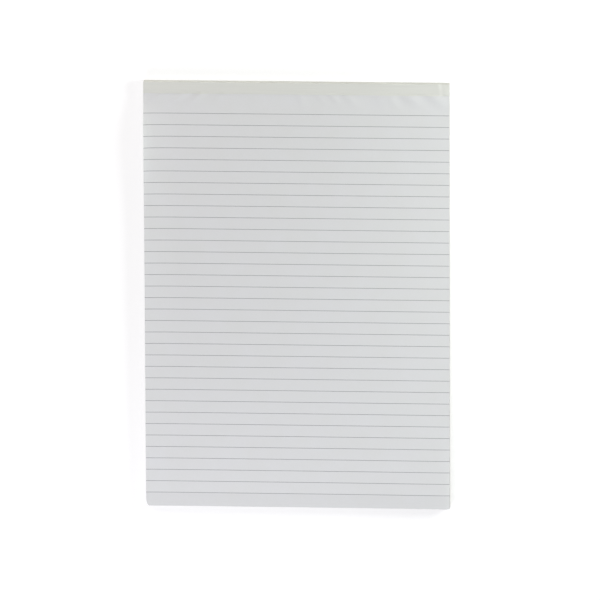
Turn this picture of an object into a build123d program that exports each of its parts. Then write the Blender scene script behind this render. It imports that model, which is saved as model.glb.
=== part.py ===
from build123d import *
import os

# Ruled writing pad, A4, glued at the head and bound there with a narrow cream paper tape.
# Lengths are in millimetres. +X runs along the rules to the right, +Y to the bound head and +Z up out
# of the ruled face. The origin is the middle of the pad's footprint, on the table it lies on.

# Sheets: bond paper, all of one size, guillotined together.
sheet_width = 210.0
sheet_length = 297.0
sheet_thickness = 0.095
sheet_count = 50

# The foot corner at the left was knocked blunt, through the whole pad.
blunt_corner_width = 2.4
blunt_corner_length = 5.6

# Rules: grey ink on the top sheet, from edge to edge. The ink soaks in and lies flush. It is the 8 mm
# feint ruling, and the print has run a hair wide.
rule_pitch = 8.06
rule_width = 0.3
rule_soak = 0.03
rule_head_margin = 21.5
rule_foot_margin = 8.5

# Back board: grey chipboard under the sheets, soft enough for the tape to be pressed in flush.
board_thickness = 0.9

# Padding glue: a film over the head edges of the sheets and the board.
glue_thickness = 0.35

# Binding tape: one strip, from the top sheet over the head to the back of the board.
tape_thickness = 0.15
tape_front_width = 7.8
tape_back_width = 12.0
tape_bend_share = 0.8  # the inner bend's radius, as a share of the glue that it is pressed round

# Places that follow from the sizes.
overall_length = sheet_length + glue_thickness + tape_thickness
left_x = -sheet_width / 2
right_x = sheet_width / 2
foot_y = -overall_length / 2
head_y = foot_y + sheet_length
glue_head_y = head_y + glue_thickness
tape_head_y = glue_head_y + tape_thickness
tape_front_y = head_y - tape_front_width
tape_back_y = head_y - tape_back_width
sheets_thickness = sheet_count * sheet_thickness
face_z = board_thickness + sheets_thickness
tape_bend_radius = tape_bend_share * glue_thickness


def sheet_plan():
    """The outline of a sheet seen from above, with its blunt corner as a quarter of an ellipse."""
    corner = EllipticalCenterArc(
        center=(left_x + blunt_corner_width, foot_y + blunt_corner_length),
        x_radius=blunt_corner_width,
        y_radius=blunt_corner_length,
        start_angle=180,
        arc_size=90,
    )
    sides = Polyline(corner @ 1, (right_x, foot_y), (right_x, head_y), (left_x, head_y), corner @ 0)
    return make_face(corner + sides)


def slab(bottom_z, thickness):
    """The sheet's outline, raised to a flat slab."""
    return extrude(Pos(0, 0, bottom_z) * sheet_plan(), amount=thickness, dir=(0, 0, 1))


def rule_places():
    """Where each rule crosses the sheet, from the head down, as far as the foot margin allows."""
    first_y = head_y - rule_head_margin
    room = sheet_length - rule_head_margin - rule_foot_margin
    steps = int(room / rule_pitch)
    return [first_y - step * rule_pitch for step in range(steps + 1)]


def ruled_lines(stack):
    """One thin bar of ink for each rule, as long as the sheet is wide there."""
    bars = []
    for y in rule_places():
        middle = Pos(0, y, face_z - rule_soak / 2)
        bars += (middle * Box(sheet_width, rule_width, rule_soak) & stack).solids()
    return bars


def back_board():
    """The board, with the shallow step along the head into which the back of the tape is pressed."""
    board = slab(0, board_thickness)
    step = Box(
        sheet_width, tape_back_width, tape_thickness, align=(Align.CENTER, Align.MAX, Align.MIN)
    )
    return board - Pos(0, head_y, 0) * step


def head_profile(points, inner_corners, outer_corners=()):
    """A section across the head, on the YZ plane, with the tape's bends at the named corners."""
    section = make_face(Polyline(*points, close=True))
    rounds = ((inner_corners, tape_bend_radius), (outer_corners, tape_bend_radius + tape_thickness))
    for corners, radius in rounds:
        for corner in corners:
            nearest = section.vertices().sort_by_distance((*corner, 0))[0]
            section = fillet(nearest, radius)
    return extrude(Plane.YZ * section, amount=sheet_width / 2, both=True)


def padding_glue():
    """The film of glue, which fills the space between the head edges and the tape."""
    inner_corners = [(glue_head_y, face_z), (glue_head_y, tape_thickness)]
    points = [(head_y, face_z), *inner_corners, (head_y, tape_thickness)]
    return head_profile(points, inner_corners)


def binding_tape():
    """The tape: front strip, wrap round the head and back strip, folded from one piece."""
    inner_corners = [(glue_head_y, face_z), (glue_head_y, tape_thickness)]
    outer_corners = [(tape_head_y, 0), (tape_head_y, face_z + tape_thickness)]
    points = [
        (tape_front_y, face_z),
        *inner_corners,
        (tape_back_y, tape_thickness),
        (tape_back_y, 0),
        *outer_corners,
        (tape_front_y, face_z + tape_thickness),
    ]
    return head_profile(points, inner_corners, outer_corners)


stack = slab(board_thickness, sheets_thickness)
rules = ruled_lines(stack)

parts = {
    "sheets": stack - rules,
    "ruled_lines": Compound(rules),
    "back_board": back_board(),
    "padding_glue": padding_glue(),
    "binding_tape": binding_tape(),
}

os.makedirs("parts", exist_ok=True)
for name, shape in parts.items():
    export_step(shape, f"parts/{name}.step")
    box = shape.bounding_box()
    print(name, len(shape.solids()), "solids", round(shape.volume, 1), "mm3", box.min, box.max)
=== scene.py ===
import math
import random

import bmesh
import bpy
from mathutils import Euler, Matrix, Vector, noise


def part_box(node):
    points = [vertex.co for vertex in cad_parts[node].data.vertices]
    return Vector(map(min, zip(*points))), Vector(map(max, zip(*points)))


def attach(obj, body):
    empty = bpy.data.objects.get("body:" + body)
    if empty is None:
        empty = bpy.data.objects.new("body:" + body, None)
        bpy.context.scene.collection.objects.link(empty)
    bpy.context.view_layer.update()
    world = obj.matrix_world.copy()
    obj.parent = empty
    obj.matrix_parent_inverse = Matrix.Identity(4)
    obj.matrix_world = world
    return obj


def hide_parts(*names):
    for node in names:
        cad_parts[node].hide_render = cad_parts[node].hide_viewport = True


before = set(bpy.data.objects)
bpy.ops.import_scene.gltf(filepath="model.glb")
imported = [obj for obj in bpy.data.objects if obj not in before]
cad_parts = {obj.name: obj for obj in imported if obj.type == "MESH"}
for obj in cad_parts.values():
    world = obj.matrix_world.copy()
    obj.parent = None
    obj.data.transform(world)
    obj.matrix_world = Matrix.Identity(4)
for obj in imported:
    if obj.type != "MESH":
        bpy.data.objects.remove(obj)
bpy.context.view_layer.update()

# Camera
# It looks down on the ruled face from seven metres with a long lens, and leans a little towards the
# bound head and to the right. The middle of the sheet lies just left of and above the picture's middle.
mm = 0.001
sheets_low, sheets_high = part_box("sheets")
sheet_middle = (sheets_low + sheets_high) / 2
sheet_middle.z = sheets_high.z
camera_distance = 7.0
camera_lean = Euler((math.radians(-11.40), math.radians(4.52), math.radians(0.67)), "ZYX")
camera_aside = Vector((2.13 * mm, -2.61 * mm, camera_distance))
camera = bpy.data.objects.new("camera", bpy.data.cameras.new("camera"))
camera.data.sensor_width = 36.0
camera.data.lens = 611.3
camera_turn = camera_lean.to_matrix().to_4x4()
camera.matrix_world = Matrix.Translation(sheet_middle) @ camera_turn @ Matrix.Translation(camera_aside)
bpy.context.scene.collection.objects.link(camera)
bpy.context.scene.camera = camera
bpy.context.scene.view_settings.view_transform = "Standard"

# Lamps
# Four softboxes stand low round the pad, and with the even sky their shares add up to about 1 on the
# sheet, the plain level at which a colour comes out as it is written. Each has a faint tint, so that
# the sheet goes from neutral at the head to cool at the foot.
sky_share = 0.10

# Each softbox: place, side in metres, share of the light on the sheet, and tint.
softboxes = {
    "right_softbox": ((0.66, 0.20, 0.27), 0.30, 0.37, (0.962, 1.0, 0.972)),
    "foot_softbox": ((-0.22, -0.60, 0.36), 0.45, 0.35, (1.015, 1.0, 1.07)),
    "left_softbox": ((-0.38, 0.27, 0.23), 0.30, 0.13, (1.055, 1.0, 1.01)),
    "head_softbox": ((0.10, 2.00, 0.45), 0.80, 0.068, (1.03, 1.0, 0.88)),
}
for name, (spot, side, share, tint) in softboxes.items():
    lamp = bpy.data.objects.new(name, bpy.data.lights.new(name, "AREA"))
    way = sheet_middle - Vector(spot)
    lamp.location = spot
    lamp.rotation_euler = way.to_track_quat("-Z", "Y").to_euler()
    lamp.data.size = side
    lamp.data.color = tint
    slant = -way.normalized().z
    lamp.data.energy = share * math.pi ** 2 * way.length_squared / slant
    lamp.visible_camera = False
    bpy.context.scene.collection.objects.link(lamp)


def linear(hex_code):
    """An sRGB colour such as "#D7D8DA" as the linear RGBA that shaders take."""
    levels = [int(hex_code[i : i + 2], 16) / 255 for i in (1, 3, 5)]
    return (*[v / 12.92 if v <= 0.04045 else ((v + 0.055) / 1.055) ** 2.4 for v in levels], 1.0)


def add_node(tree, kind, inputs=None, **settings):
    """Adds a node with its settings. An input is a value, or the socket that feeds it."""
    node = tree.nodes.new(kind)
    for name, value in settings.items():
        setattr(node, name, value)
    for name, value in (inputs or {}).items():
        if isinstance(value, bpy.types.NodeSocket):
            tree.links.new(value, node.inputs[name])
        else:
            node.inputs[name].default_value = value
    return node


def looked_at(tree):
    """A socket that is 1 for a ray from the camera, a mirror or a glass, and 0 for one that lights."""
    rays = add_node(tree, "ShaderNodeLightPath")
    seen = rays.outputs["Is Camera Ray"]
    for kind in ("Is Glossy Ray", "Is Transmission Ray"):
        either = add_node(tree, "ShaderNodeMath", {0: seen, 1: rays.outputs[kind]}, operation="MAXIMUM")
        seen = either.outputs[0]
    return seen


# The sky is white where it is looked at or mirrored, and gives its share of the light elsewhere.
sky = bpy.data.worlds.new("sky")
sky.use_nodes = True
sky.node_tree.nodes.clear()
sky_level = add_node(
    sky.node_tree,
    "ShaderNodeMapRange",
    {"Value": looked_at(sky.node_tree), "To Min": sky_share, "To Max": 1.0},
)
sky_light = add_node(
    sky.node_tree,
    "ShaderNodeBackground",
    {"Color": linear("#FFFFFF"), "Strength": sky_level.outputs["Result"]},
)
add_node(sky.node_tree, "ShaderNodeOutputWorld", {"Surface": sky_light.outputs[0]})
bpy.context.scene.world = sky


def clear_material(name):
    """A material with an empty node tree, and that tree."""
    material = bpy.data.materials.new(name)
    material.use_nodes = True
    material.node_tree.nodes.clear()
    return material, material.node_tree


# Floor
# A matt white table top. It takes the pad's soft shadow, and glows a little where it is looked at, so
# that it reads as plain white backdrop paper.
floor_half = 6.0
floor_glow = 0.58
floor_mesh = bmesh.new()
bmesh.ops.create_grid(floor_mesh, x_segments=1, y_segments=1, size=floor_half)
floor = bpy.data.objects.new("floor", bpy.data.meshes.new("floor"))
floor_mesh.to_mesh(floor.data)
floor_mesh.free()
bpy.context.scene.collection.objects.link(floor)
white_backdrop, tree = clear_material("matt white backdrop")
glow_level = add_node(tree, "ShaderNodeMath", {0: looked_at(tree), 1: floor_glow}, operation="MULTIPLY")
glow = add_node(tree, "ShaderNodeEmission", {"Strength": glow_level.outputs[0]})
paint = add_node(tree, "ShaderNodeBsdfDiffuse", {"Color": linear("#BEBEBE")})
both = add_node(tree, "ShaderNodeAddShader", {0: paint.outputs[0], 1: glow.outputs[0]})
add_node(tree, "ShaderNodeOutputMaterial", {"Surface": both.outputs[0]})
floor.data.materials.append(white_backdrop)

# Lower sheets
# The sheets under the top one, loose bond paper cut to size in one block. The knife draws each lift
# of a few sheets a hair to one side, so the cut edges show fine lines. The head edges are glued flush.
sheet_count = 50
sheet_pitch = (sheets_high.z - sheets_low.z) / sheet_count
sheet_caliper = 0.090 * mm
sheets_per_lift = 6
lift_draw = 0.09 * mm
sheet_draw = 0.03 * mm
blunt_width = 2.4 * mm
blunt_length = 5.6 * mm
blunt_steps = 8
face_tilt_limit = math.radians(60)
cutting_seed = 7
paper_random = random.Random(cutting_seed)


def sheet_outline(draw_left, draw_right, draw_foot):
    """The corners of a sheet from above: the blunt one as a quarter of an ellipse, then the others."""
    left, right = sheets_low.x + draw_left, sheets_high.x + draw_right
    foot, head = sheets_low.y + draw_foot, sheets_high.y
    points = []
    for step in range(blunt_steps + 1):
        turn = math.pi / 2 * step / blunt_steps
        x = left + blunt_width * (1 - math.cos(turn))
        y = foot + blunt_length * (1 - math.sin(turn))
        points.append((x, y))
    return [*points, (right, foot), (right, head), (left, head)]


def finish_piece(name, mesh, *materials):
    """Turns a bmesh into an object of the pad, which lies with the pad's one body."""
    bmesh.ops.recalc_face_normals(mesh, faces=mesh.faces)
    piece = bpy.data.objects.new(name, bpy.data.meshes.new(name))
    mesh.to_mesh(piece.data)
    mesh.free()
    for material in materials:
        piece.data.materials.append(material)
    bpy.context.scene.collection.objects.link(piece)
    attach(piece, "root")
    return piece


def thicken(mesh, faces, offset):
    """Gives open faces their other side, moved by the offset, and returns that side's vertices."""
    other = bmesh.ops.extrude_face_region(mesh, geom=faces, use_keep_orig=True)["geom"]
    verts = [item for item in other if isinstance(item, bmesh.types.BMVert)]
    bmesh.ops.translate(mesh, vec=(0, 0, offset), verts=verts)
    return verts


# Uncoated white bond paper, made on a machine and left unpolished: matt, with a faint cloudiness where
# the fibres lie thicker and a fine fibrous tooth. Its thicker clouds are a touch bluer. Below the last
# rule a painted shade makes it a touch greyer.
bond_paper, tree = clear_material("uncoated white bond paper")
paper_cloud_size = 14.0 * mm
paper_fibre_size = 0.7 * mm
paper_tooth = 0.012 * mm
# The painted shade along the foot: how far up from the foot it is whole, and how far it takes to fade
# out.
shaded_foot_band = 8.0 * mm
shaded_foot_fade = 3.0 * mm
place = add_node(tree, "ShaderNodeTexCoord")
cloud = add_node(
    tree,
    "ShaderNodeTexNoise",
    {"Vector": place.outputs["Object"], "Scale": 1 / paper_cloud_size, "Detail": 3.0},
)
fibre = add_node(
    tree,
    "ShaderNodeTexNoise",
    {
        "Vector": place.outputs["Object"],
        "Scale": 1 / paper_fibre_size,
        "Detail": 3.0,
        "Distortion": 0.6,
    },
)
cloudy = add_node(
    tree,
    "ShaderNodeMix",
    {0: cloud.outputs["Fac"], 6: linear("#DADBDA"), 7: linear("#DDDEE0")},
    data_type="RGBA",
)
fibrous = add_node(
    tree,
    "ShaderNodeMix",
    {0: fibre.outputs["Fac"], 6: linear("#F9F9F9"), 7: linear("#FFFFFF")},
    data_type="RGBA",
)
tone = add_node(
    tree,
    "ShaderNodeMix",
    {0: 1.0, 6: cloudy.outputs[2], 7: fibrous.outputs[2]},
    data_type="RGBA",
    blend_type="MULTIPLY",
)
split = add_node(tree, "ShaderNodeSeparateXYZ", {0: place.outputs["Object"]})
# Painted shade: a mask that is 1 along the foot and fades out above the last rule.
painted_foot_shade = add_node(
    tree,
    "ShaderNodeMapRange",
    {
        "Value": split.outputs["Y"],
        "From Min": sheets_low.y + shaded_foot_band,
        "From Max": sheets_low.y + shaded_foot_band + shaded_foot_fade,
        "To Min": 1.0,
        "To Max": 0.0,
    },
    interpolation_type="SMOOTHSTEP",
)
# Painted shade: the paper colour is multiplied a touch greyer under that mask.
tone = add_node(
    tree,
    "ShaderNodeMix",
    {0: painted_foot_shade.outputs["Result"], 6: tone.outputs[2], 7: linear("#FBFBFB")},
    data_type="RGBA",
    blend_type="MULTIPLY",
)
tooth = add_node(
    tree,
    "ShaderNodeBump",
    {"Height": fibre.outputs["Fac"], "Distance": paper_tooth, "Strength": 0.6},
)
surface = add_node(
    tree,
    "ShaderNodeBsdfPrincipled",
    {"Base Color": tone.outputs[2], "Roughness": 0.88, "IOR": 1.45, "Normal": tooth.outputs[0]},
)
add_node(tree, "ShaderNodeOutputMaterial", {"Surface": surface.outputs[0]})

# Guillotined paper edge: the same sheets end on. Each differs a little in tone from the next, and the
# knife has left faint upright scores. The sheets are too fine to show singly, so tone goes by lifts.
cut_edge, tree = clear_material("guillotined paper edge")
lift_height = 0.38 * mm
lift_length = 50.0 * mm
score_spacing = 1.6 * mm
score_height = 30.0 * mm
place = add_node(tree, "ShaderNodeTexCoord")
by_lift = add_node(
    tree,
    "ShaderNodeMapping",
    {"Vector": place.outputs["Object"], "Scale": (1 / lift_length, 1 / lift_length, 1 / lift_height)},
)
lifts = add_node(
    tree, "ShaderNodeTexNoise", {"Vector": by_lift.outputs[0], "Scale": 1.0, "Detail": 3.0}
)
by_score = add_node(
    tree,
    "ShaderNodeMapping",
    {
        "Vector": place.outputs["Object"],
        "Scale": (1 / score_spacing, 1 / score_spacing, 1 / score_height),
    },
)
scores = add_node(
    tree, "ShaderNodeTexNoise", {"Vector": by_score.outputs[0], "Scale": 1.0, "Detail": 4.0}
)
layered = add_node(
    tree,
    "ShaderNodeMix",
    {0: lifts.outputs["Fac"], 6: linear("#C6C6C4"), 7: linear("#E6E6E5")},
    data_type="RGBA",
)
scored = add_node(
    tree,
    "ShaderNodeMix",
    {0: scores.outputs["Fac"], 6: linear("#EDEDEC"), 7: linear("#FFFFFF")},
    data_type="RGBA",
)
tone = add_node(
    tree,
    "ShaderNodeMix",
    {0: 1.0, 6: layered.outputs[2], 7: scored.outputs[2]},
    data_type="RGBA",
    blend_type="MULTIPLY",
)
surface = add_node(
    tree, "ShaderNodeBsdfPrincipled", {"Base Color": tone.outputs[2], "Roughness": 0.95, "IOR": 1.45}
)
add_node(tree, "ShaderNodeOutputMaterial", {"Surface": surface.outputs[0]})


def face_or_edge(mesh):
    """Gives the flat faces of the paper the first material and its cut edges the second."""
    bmesh.ops.recalc_face_normals(mesh, faces=mesh.faces)
    for face in mesh.faces:
        face.material_index = 0 if abs(face.normal.z) > math.cos(face_tilt_limit) else 1


block = bmesh.new()
for number in range(sheet_count - 1):
    if number % sheets_per_lift == 0:
        lift_shift = [paper_random.uniform(-lift_draw, lift_draw) for _ in range(3)]
    draws = [shift + paper_random.uniform(-sheet_draw, sheet_draw) for shift in lift_shift]
    bottom = sheets_low.z + number * sheet_pitch
    corners = [block.verts.new((x, y, bottom)) for x, y in sheet_outline(*draws)]
    thicken(block, [block.faces.new(corners)], sheet_caliper)
face_or_edge(block)
lower_sheets = finish_piece("lower_sheets", block, bond_paper, cut_edge)
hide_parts("sheets")

# Top sheet
# The ruled sheet that shows. The tape holds it at the head, and the paper has cockled just below the
# tape, in small puckers that fan out to both sides. Its left edge curls up off the block a little, its
# foot lifts a hair, and it has swollen slightly along the right edge near the foot.
tape_front_width = 7.8 * mm
tape_front_y = sheets_high.y - tape_front_width

# The mesh is fine along the two sides, at the foot and in the puckers, and coarse in between.
left_run = 4.0 * mm
right_run = 3.0 * mm
foot_run = 6.0 * mm
pucker_run = 20.0 * mm
under_tape_run = 5.8 * mm
middle_columns_run = sheets_high.x - sheets_low.x - left_run - right_run
middle_rows_run = sheets_high.y - sheets_low.y - foot_run - pucker_run - under_tape_run
column_runs = ((left_run, 0.4 * mm), (middle_columns_run, 1.1 * mm), (right_run, 0.5 * mm))
row_runs = (
    (foot_run, 0.7 * mm),
    (middle_rows_run, 2.41 * mm),
    (pucker_run, 0.5 * mm),
    (under_tape_run, 1.2 * mm),
)
crisp_angle = math.radians(50)

# Each pucker: place along the tape's edge from the middle, lean to the right as it runs down, length
# down the sheet, half width and height, all in millimetres but the lean.
puckers = (
    (-92.0, -1.5, 9.0, 3.6, 0.34),
    (-77.6, -1.2, 11.0, 3.3, 0.38),
    (-65.6, -0.9, 12.0, 4.2, 0.50),
    (-50.0, -0.9, 10.0, 3.8, 0.24),
    (2.8, 0.25, 14.0, 3.0, 0.26),
    (15.0, 0.7, 9.0, 2.9, 0.18),
    (24.6, 0.7, 10.0, 2.9, 0.27),
    (35.0, 0.7, 13.0, 3.6, 0.30),
    (57.2, 0.35, 14.0, 5.0, 0.32),
    (64.2, 0.5, 14.0, 4.0, 0.40),
    (77.0, 0.85, 12.0, 6.4, 0.50),
    (93.9, 0.9, 12.0, 5.8, 0.46),
)
pucker_onset = 2.4 * mm
tape_give = 1.5 * mm

# The left edge: a wide soft curl, and a narrow lip right at the edge, highest near the head.
curl_at_head = 1.5 * mm
curl_at_foot = 0.6 * mm
curl_reach = 24.0 * mm
free_below_tape = 26.0 * mm
lip_height = 1.3 * mm
lip_reach = 2.8 * mm
lip_onset = 32.0 * mm
lip_fade = 55.0 * mm

# The foot, the right edge, and the slow waves of a sheet that has taken up some damp.
foot_lift = 0.3 * mm
foot_lift_reach = 14.0 * mm
right_swell = 0.50 * mm
right_shoulder = 5.0 * mm
right_swell_reach = 70.0 * mm
slow_wave = 0.10 * mm
slow_wave_length = 90.0 * mm
slow_wave_seed = 0.5


def ease(share):
    """Goes smoothly from 0 to 1 as the share does."""
    share = min(1.0, max(0.0, share))
    return share * share * (3 - 2 * share)


def edge_swell(from_edge, shoulder, reach):
    """Rises from 0 at an edge to 1 at the shoulder, steepest at the edge, and eases back to 0."""
    risen = 1 - max(0.0, 1 - from_edge / shoulder) ** 2
    return risen * (1 - ease(from_edge / reach))


def sheet_rise(x, y):
    """How far the top sheet has risen off the block at a place on it, also under the tape's edge."""
    below_tape = tape_front_y - y
    if below_tape <= -tape_give:
        return 0.0
    rise = 0.0
    for middle, lean, length, half_width, height in puckers:
        across = (x - middle * mm - lean * below_tape) / (half_width * mm)
        swell = ease((below_tape + tape_give) / pucker_onset) * (1 - ease(below_tape / (length * mm)))
        rise += height * mm * swell * math.exp(-across * across)
    freedom = ease(below_tape / free_below_tape)
    wave = noise.noise(Vector((x / slow_wave_length, y / slow_wave_length, slow_wave_seed)))
    rise += slow_wave * freedom * (1 + wave)
    from_left = x - sheets_low.x
    down = below_tape / (tape_front_y - sheets_low.y)
    curl = curl_at_head + (curl_at_foot - curl_at_head) * ease(down)
    rise += curl * freedom * max(0.0, 1 - from_left / curl_reach) ** 2
    lip = lip_height * ease(below_tape / lip_onset) * (1 - ease((below_tape - lip_onset) / lip_fade))
    rise += lip * math.exp(-from_left / lip_reach)
    from_foot = y - sheets_low.y
    rise += foot_lift * max(0.0, 1 - from_foot / foot_lift_reach) ** 2
    inward = edge_swell(sheets_high.x - x, right_shoulder, right_swell_reach)
    rise += right_swell * inward * (1 - ease(from_foot / right_swell_reach))
    return rise


def stations(start, runs):
    """Places along a line: each run has a length, divided in equal steps of about the size given."""
    places = [start]
    for length, step in runs:
        count = round(length / step)
        begin = places[-1]
        places += [begin + length * (number + 1) / count for number in range(count)]
    return places


def add_grid(mesh, columns, rows):
    """Adds a flat grid whose columns and rows stand at the places given, and returns its vertices."""
    x_steps, y_steps = len(columns) - 1, len(rows) - 1
    verts = bmesh.ops.create_grid(mesh, x_segments=x_steps, y_segments=y_steps, size=1)["verts"]
    for vert in verts:
        column = round((vert.co.x + 1) / 2 * x_steps)
        row = round((vert.co.y + 1) / 2 * y_steps)
        vert.co = (columns[column], rows[row], 0)
    return verts


def blunt_corner(x, y):
    """Draws a place in the foot corner at the left in under the blunt corner's curve."""
    out_x = (sheets_low.x + blunt_width - x) / blunt_width
    out_y = (sheets_low.y + blunt_length - y) / blunt_length
    if out_x <= 0 or out_y <= 0:
        return x, y
    x = sheets_low.x + blunt_width * (1 - out_x * math.sqrt(1 - out_y * out_y / 2))
    y = sheets_low.y + blunt_length * (1 - out_y * math.sqrt(1 - out_x * out_x / 2))
    return x, y


sheet_columns = stations(sheets_low.x, column_runs)
page = bmesh.new()
for vert in add_grid(page, sheet_columns, stations(sheets_low.y, row_runs)):
    x, y = blunt_corner(vert.co.x, vert.co.y)
    vert.co = (x, y, sheets_high.z + sheet_rise(x, y))
thicken(page, list(page.faces), -sheet_caliper)
face_or_edge(page)
for face in page.faces:
    face.smooth = True
top_sheet = finish_piece("top_sheet", page, bond_paper, cut_edge)
top_sheet.data.set_sharp_from_angle(angle=crisp_angle)
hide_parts("sheets")

# Rules
# Feint rules printed in thin grey ink on the top sheet before it was cut, from edge to edge. The ink
# has soaked into the tooth of the paper and follows every rise of the sheet.
rule_width = 0.31 * mm
rule_head_margin = 21.5 * mm
rule_pitch = 8.06 * mm
rule_count = 34
ink_above = 0.006 * mm
ink_below = 0.020 * mm

# Grey printing ink on uncoated paper: matt, and a little thinner where the fibres took less.
rule_ink, tree = clear_material("grey feint ruling ink")
ink_patch_size = 2.5 * mm
place = add_node(tree, "ShaderNodeTexCoord")
patch = add_node(
    tree,
    "ShaderNodeTexNoise",
    {"Vector": place.outputs["Object"], "Scale": 1 / ink_patch_size, "Detail": 3.0},
)
tone = add_node(
    tree,
    "ShaderNodeMix",
    {0: patch.outputs["Fac"], 6: linear("#7F7F84"), 7: linear("#98989C")},
    data_type="RGBA",
)
surface = add_node(
    tree, "ShaderNodeBsdfPrincipled", {"Base Color": tone.outputs[2], "Roughness": 0.9, "IOR": 1.45}
)
add_node(tree, "ShaderNodeOutputMaterial", {"Surface": surface.outputs[0]})

rules = bmesh.new()
for number in range(rule_count):
    rule_y = sheets_high.y - rule_head_margin - number * rule_pitch
    for vert in add_grid(rules, sheet_columns, (rule_y - rule_width / 2, rule_y + rule_width / 2)):
        vert.co.z = sheets_high.z + sheet_rise(vert.co.x, vert.co.y) + ink_above
thicken(rules, list(rules.faces), -ink_above - ink_below)
printed_rules = finish_piece("printed_rules", rules, rule_ink)
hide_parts("ruled_lines")

# Back board
# Grey chipboard, pressed from waste paper and cut with the sheets. It is dull, with pale fibres and
# dark flecks all through it, and the tape is pressed into it along the head.
chipboard, tree = clear_material("grey chipboard")
board_cloud_size = 9.0 * mm
board_fibre_size = 1.3 * mm
board_fleck_spacing = 3.2 * mm
board_tooth = 0.04 * mm
place = add_node(tree, "ShaderNodeTexCoord")
cloud = add_node(
    tree,
    "ShaderNodeTexNoise",
    {"Vector": place.outputs["Object"], "Scale": 1 / board_cloud_size, "Detail": 3.0},
)
fibre = add_node(
    tree,
    "ShaderNodeTexNoise",
    {
        "Vector": place.outputs["Object"],
        "Scale": 1 / board_fibre_size,
        "Detail": 5.0,
        "Distortion": 1.5,
    },
)
flecks = add_node(
    tree,
    "ShaderNodeTexVoronoi",
    {"Vector": place.outputs["Object"], "Scale": 1 / board_fleck_spacing, "Randomness": 1.0},
)
fleck = add_node(
    tree,
    "ShaderNodeMapRange",
    {
        "Value": flecks.outputs["Distance"],
        "From Min": 0.06,
        "From Max": 0.14,
        "To Min": 1.0,
        "To Max": 0.0,
    },
)
base = add_node(
    tree,
    "ShaderNodeMix",
    {0: cloud.outputs["Fac"], 6: linear("#8C8578"), 7: linear("#A09888")},
    data_type="RGBA",
)
fibrous = add_node(
    tree,
    "ShaderNodeMapRange",
    {"Value": fibre.outputs["Fac"], "From Min": 0.35, "From Max": 0.75},
)
fibred = add_node(
    tree,
    "ShaderNodeMix",
    {0: fibrous.outputs["Result"], 6: base.outputs[2], 7: linear("#B3AB9B")},
    data_type="RGBA",
)
tone = add_node(
    tree,
    "ShaderNodeMix",
    {0: fleck.outputs["Result"], 6: fibred.outputs[2], 7: linear("#5E584F")},
    data_type="RGBA",
)
tooth = add_node(
    tree, "ShaderNodeBump", {"Height": fibre.outputs["Fac"], "Distance": board_tooth, "Strength": 0.7}
)
surface = add_node(
    tree,
    "ShaderNodeBsdfPrincipled",
    {"Base Color": tone.outputs[2], "Roughness": 0.92, "IOR": 1.45, "Normal": tooth.outputs[0]},
)
add_node(tree, "ShaderNodeOutputMaterial", {"Surface": surface.outputs[0]})
back_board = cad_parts["back_board"]
back_board.data.materials.clear()
back_board.data.materials.append(chipboard)

# Padding glue
# White padding glue, brushed on the clamped head edges and dried to a cream film under the tape. Only
# its ends show, at the two sides of the pad.
dried_glue, tree = clear_material("dried white padding glue")
glue_lump_size = 1.0 * mm
place = add_node(tree, "ShaderNodeTexCoord")
lumps = add_node(
    tree,
    "ShaderNodeTexNoise",
    {"Vector": place.outputs["Object"], "Scale": 1 / glue_lump_size, "Detail": 2.0},
)
tone = add_node(
    tree,
    "ShaderNodeMix",
    {0: lumps.outputs["Fac"], 6: linear("#D8D1BA"), 7: linear("#E6E0CC")},
    data_type="RGBA",
)
surface = add_node(
    tree, "ShaderNodeBsdfPrincipled", {"Base Color": tone.outputs[2], "Roughness": 0.42, "IOR": 1.47}
)
add_node(tree, "ShaderNodeOutputMaterial", {"Surface": surface.outputs[0]})
padding_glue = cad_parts["padding_glue"]
padding_glue.data.materials.clear()
padding_glue.data.materials.append(dried_glue)

# Binding tape
# One strip of smooth cream paper tape, stuck to the top sheet, folded over the glued head and stuck to
# the board's back. Its long edges waver a little. At the right it has a crease, rubbed paler and given
# a painted highlight, and its end stands off a hair.
tape_low, tape_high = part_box("binding_tape")
tape_thickness = 0.15 * mm
tape_bend = 0.28 * mm
tape_edge_waver = 0.10 * mm
tape_waver_length = 17.0 * mm
tape_waver_reach = 3.0 * mm
front_waver_seed = 1.3
back_waver_seed = 8.9
crease_x = 98.6 * mm
crease_lean = 0.12
crease_half_width = 1.1 * mm
crease_height = 0.07 * mm
crease_length = 5.0 * mm
blister_length = 9.0 * mm
blister_width = 7.0 * mm
blister_height = 0.03 * mm
blister_seed = 3.7
tape_stuck_at_fold = 3.0 * mm
tape_end_swell = 0.20 * mm
tape_end_shoulder = 3.5 * mm
tape_end_reach = 14.0 * mm
inner_head_y = tape_high.y - tape_thickness
inner_front_z = tape_high.z - tape_thickness
inner_back_z = tape_low.z + tape_thickness
front_run = inner_head_y - tape_bend - tape_front_y
bend_run = tape_bend * math.pi / 2
head_run = inner_front_z - inner_back_z - 2 * tape_bend
back_run = inner_head_y - tape_bend - tape_low.y


def fold_tape(along, stand_off):
    """The y and z of a place on the folded strip, so far along it and so far off the block."""
    if along < front_run:
        return tape_front_y + along, inner_front_z + stand_off
    along -= front_run
    if along < bend_run:
        turn = along / tape_bend
        reach = tape_bend + stand_off
        return (
            inner_head_y - tape_bend + reach * math.sin(turn),
            inner_front_z - tape_bend + reach * math.cos(turn),
        )
    along -= bend_run
    if along < head_run:
        return inner_head_y + stand_off, inner_front_z - tape_bend - along
    along -= head_run
    if along < bend_run:
        turn = along / tape_bend
        reach = tape_bend + stand_off
        return (
            inner_head_y - tape_bend + reach * math.cos(turn),
            inner_back_z + tape_bend - reach * math.sin(turn),
        )
    along -= bend_run
    return inner_head_y - tape_bend - along, inner_back_z - stand_off


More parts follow.
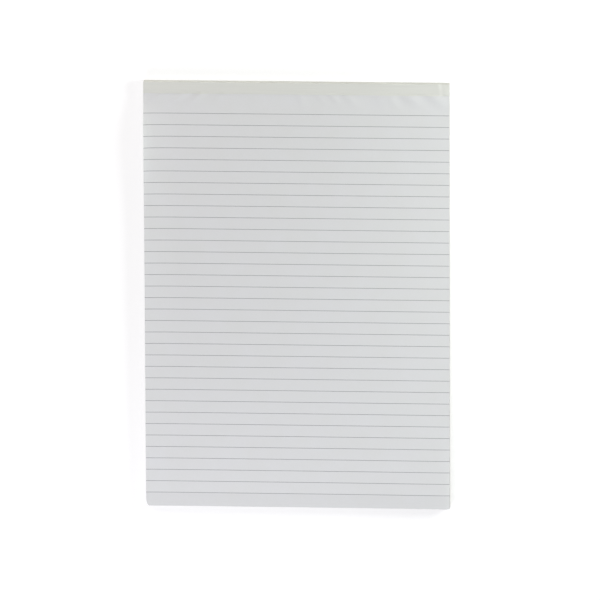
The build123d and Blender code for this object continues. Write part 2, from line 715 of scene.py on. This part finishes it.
def tape_swell(x, along):
    """How far the tape stands off the block: over puckers, in blisters, at its crease and its end."""
    bubble = noise.noise(Vector((x / blister_length, along / blister_width, blister_seed)))
    blister = blister_height * max(0.0, bubble)
    from_fold = front_run - along
    off_crease = (x - crease_x - crease_lean * from_fold) / crease_half_width
    crease = crease_height * math.exp(-off_crease * off_crease) * (1 - ease(from_fold / crease_length))
    end_swell = tape_end_swell * edge_swell(tape_high.x - x, tape_end_shoulder, tape_end_reach)
    on_front = ease(from_fold / tape_stuck_at_fold) * ease(along / tape_give)
    return on_front * (blister + crease + end_swell) + sheet_rise(x, tape_front_y + along)


tape_column_runs = ((tape_high.x - tape_low.x, 1.0 * mm),)
tape_row_runs = (
    (tape_give, 0.3 * mm),
    (front_run - tape_give, 0.6 * mm),
    (bend_run, 0.11 * mm),
    (head_run, 0.8 * mm),
    (bend_run, 0.11 * mm),
    (back_run, 1.0 * mm),
)
tape_rows = stations(0.0, tape_row_runs)
tape_length = tape_rows[-1]
strip = bmesh.new()
add_grid(strip, stations(tape_low.x, tape_column_runs), tape_rows)
outer_verts = set(thicken(strip, list(strip.faces), tape_thickness))
for vert in strip.verts:
    x, along = vert.co.x, vert.co.y
    front_waver = noise.noise(Vector((x / tape_waver_length, 0.0, front_waver_seed)))
    back_waver = noise.noise(Vector((x / tape_waver_length, 0.0, back_waver_seed)))
    along += tape_edge_waver * front_waver * ease(1 - along / tape_waver_reach)
    along += tape_edge_waver * back_waver * ease(1 - (tape_length - along) / tape_waver_reach)
    stand_off = tape_swell(x, along) + (tape_thickness if vert in outer_verts else 0.0)
    y, z = fold_tape(along, stand_off)
    vert.co = (x, y, z)
for face in strip.faces:
    face.smooth = True

# Cream paper tape, calendered smooth: a soft satin, with faint streaks along its length from the
# machine. Along the crease it is paler, from the rub and from a painted highlight.
paper_tape, tree = clear_material("calendered cream paper tape")
tape_streak_length = 40.0 * mm
tape_streak_width = 0.9 * mm
tape_fibre_size = 0.6 * mm
tape_tooth = 0.01 * mm

# The rub and its painted highlight: its reach to each side of the crease, how far down over the head it
# is whole and where it ends there, how far from the fold it is whole on the face, its strength, and its
# share further down.
rub_and_highlight_half_width = 1.9 * crease_half_width
rub_and_highlight_whole_over_head = 0.3 * mm
rub_and_highlight_ends_over_head = 1.6 * mm
rub_and_highlight_whole_on_face = 0.4 * crease_length
rub_and_highlight_strength = 0.55
rub_and_highlight_share_further_down = 0.6
place = add_node(tree, "ShaderNodeTexCoord")
by_streak = add_node(
    tree,
    "ShaderNodeMapping",
    {
        "Vector": place.outputs["Object"],
        "Scale": (1 / tape_streak_length, 1 / tape_streak_width, 1 / tape_streak_width),
    },
)
streaks = add_node(
    tree, "ShaderNodeTexNoise", {"Vector": by_streak.outputs[0], "Scale": 1.0, "Detail": 2.0}
)
fibre = add_node(
    tree,
    "ShaderNodeTexNoise",
    {"Vector": place.outputs["Object"], "Scale": 1 / tape_fibre_size, "Detail": 3.0},
)
streaked = add_node(
    tree,
    "ShaderNodeMix",
    {0: streaks.outputs["Fac"], 6: linear("#D2D3CE"), 7: linear("#DADBD5")},
    data_type="RGBA",
)
split = add_node(tree, "ShaderNodeSeparateXYZ", {0: place.outputs["Object"]})
crease_place = add_node(
    tree,
    "ShaderNodeMath",
    {0: split.outputs["Y"], 1: -crease_lean, 2: crease_x + crease_lean * tape_high.y},
    operation="MULTIPLY_ADD",
)
off_crease = add_node(
    tree, "ShaderNodeMath", {0: split.outputs["X"], 1: crease_place.outputs[0]}, operation="SUBTRACT"
)
off_crease = add_node(tree, "ShaderNodeMath", {0: off_crease.outputs[0]}, operation="ABSOLUTE")
near_crease = add_node(
    tree,
    "ShaderNodeMapRange",
    {
        "Value": off_crease.outputs[0],
        "From Max": rub_and_highlight_half_width,
        "To Min": rub_and_highlight_strength,
        "To Max": 0.0,
    },
    interpolation_type="SMOOTHSTEP",
)
near_fold = add_node(
    tree,
    "ShaderNodeMapRange",
    {
        "Value": split.outputs["Y"],
        "From Min": tape_high.y - crease_length,
        "From Max": tape_high.y - rub_and_highlight_whole_on_face,
        "To Min": rub_and_highlight_share_further_down,
    },
    interpolation_type="SMOOTHSTEP",
)
over_head = add_node(
    tree,
    "ShaderNodeMapRange",
    {
        "Value": split.outputs["Z"],
        "From Min": tape_high.z - rub_and_highlight_ends_over_head,
        "From Max": tape_high.z - rub_and_highlight_whole_over_head,
    },
    interpolation_type="SMOOTHSTEP",
)
# Painted highlight: this mask, strongest at the crease near the fold, paints the tape paler there as
# well as rubbed.
rub_and_painted_highlight = add_node(
    tree, "ShaderNodeMath", {0: near_crease.outputs[0], 1: near_fold.outputs[0]}, operation="MULTIPLY"
)
rub_and_painted_highlight = add_node(
    tree, "ShaderNodeMath", {0: rub_and_painted_highlight.outputs[0], 1: over_head.outputs[0]}, operation="MULTIPLY"
)
# The crease is painted a paler cream here, partly rub and partly painted highlight.
tone = add_node(
    tree,
    "ShaderNodeMix",
    {0: rub_and_painted_highlight.outputs[0], 6: streaked.outputs[2], 7: linear("#E8E9E4")},
    data_type="RGBA",
)
tooth = add_node(
    tree, "ShaderNodeBump", {"Height": fibre.outputs["Fac"], "Distance": tape_tooth, "Strength": 0.5}
)
surface = add_node(
    tree,
    "ShaderNodeBsdfPrincipled",
    {"Base Color": tone.outputs[2], "Roughness": 0.55, "IOR": 1.48, "Normal": tooth.outputs[0]},
)
add_node(tree, "ShaderNodeOutputMaterial", {"Surface": surface.outputs[0]})
tape = finish_piece("paper_tape", strip, paper_tape)
tape.data.set_sharp_from_angle(angle=crisp_angle)
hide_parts("binding_tape")
